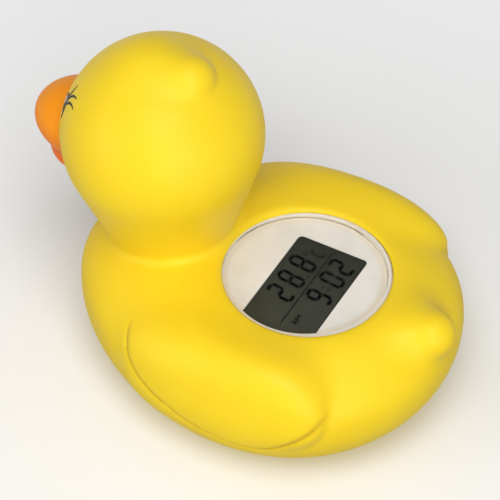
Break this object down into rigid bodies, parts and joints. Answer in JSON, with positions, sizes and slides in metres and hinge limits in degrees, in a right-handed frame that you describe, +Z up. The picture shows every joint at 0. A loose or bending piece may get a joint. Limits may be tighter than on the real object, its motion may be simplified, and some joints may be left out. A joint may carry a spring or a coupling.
{
  "type": "baby bath thermometer",
  "caption": "Hollow vinyl duck that floats in a baby's bath, with a round clock and temperature display sunk in its back.",
  "frame": {"origin": "on the surface that the duck stands on, under the middle of its length and width", "axes": "+Z up, the duck faces -Y, its left side is +X"},
  "size_m": [0.0989, 0.138, 0.1111],
  "materials": {
    "vinyl_yellow": "soft satin vinyl skin",
    "abs_white": "satin moulded",
    "clear_window": "clear polished plastic window",
    "printed_white": "matte printed sheet",
    "display_glass": "dark display glass",
    "frame_white": "matte moulded",
    "contact_rubber": "matte striped rubber",
    "board_green": "green board varnish",
    "epoxy_black": "glossy potting blob",
    "cover_white": "satin moulded",
    "seal_rubber": "matte",
    "silicone_grey": "matte",
    "door_white": "satin moulded",
    "cell_steel": "satin plated steel",
    "contact_metal": "plated spring strip",
    "key_grey": "matte",
    "key_board_green": "green board varnish",
    "switch_black": "matte",
    "sensor_steel": "drawn steel cap",
    "bead_glass": "glossy bead",
    "screw_steel": "plated",
    "sensor_lead_cover": "lead insulation",
    "lead_black_cover": "lead insulation",
    "lead_red_cover": "lead insulation",
    "key_lead_cover": "lead insulation"
  },
  "bodies": {
    "duck": {"duck_body": "vinyl_yellow", "core_housing": "abs_white", "lens": "clear_window", "dial_sheet": "printed_white", "display_panel": "display_glass", "display_frame": "frame_white", "contact_strip": "contact_rubber", "circuit_board": "board_green", "chip_blob": "epoxy_black", "base_cover": "cover_white", "cover_seal": "seal_rubber", "door_seal": "silicone_grey", "key_seal_1": "silicone_grey", "key_seal_2": "silicone_grey", "battery_door": "door_white", "button_cell_1": "cell_steel", "button_cell_2": "cell_steel", "contact_bridge": "contact_metal", "contact_minus": "contact_metal", "contact_plus": "contact_metal", "key_board": "key_board_green", "key_switch_1": "switch_black", "key_switch_2": "switch_black", "sensor_cap": "sensor_steel", "thermistor": "bead_glass", "board_screw_1": "screw_steel", "board_screw_2": "screw_steel", "board_screw_3": "screw_steel", "cover_screw_1": "screw_steel", "cover_screw_2": "screw_steel", "cover_screw_3": "screw_steel", "door_screw": "screw_steel", "sensor_lead": "sensor_lead_cover", "battery_lead_minus": "lead_black_cover", "battery_lead_plus": "lead_red_cover", "key_lead": "key_lead_cover"},
    "mode_key": {"mode_key": "key_grey"},
    "set_key": {"set_key": "key_grey"}
  },
  "joints": [
    {"name": "mode_key_press", "type": "slide", "parent": "duck", "child": "mode_key", "axis": [0, 0, 1], "range_m": [0, 0.0005], "stiffness_N_per_m": 1500},
    {"name": "set_key_press", "type": "slide", "parent": "duck", "child": "set_key", "axis": [0, 0, 1], "range_m": [0, 0.0005], "stiffness_N_per_m": 1500}
  ]
}
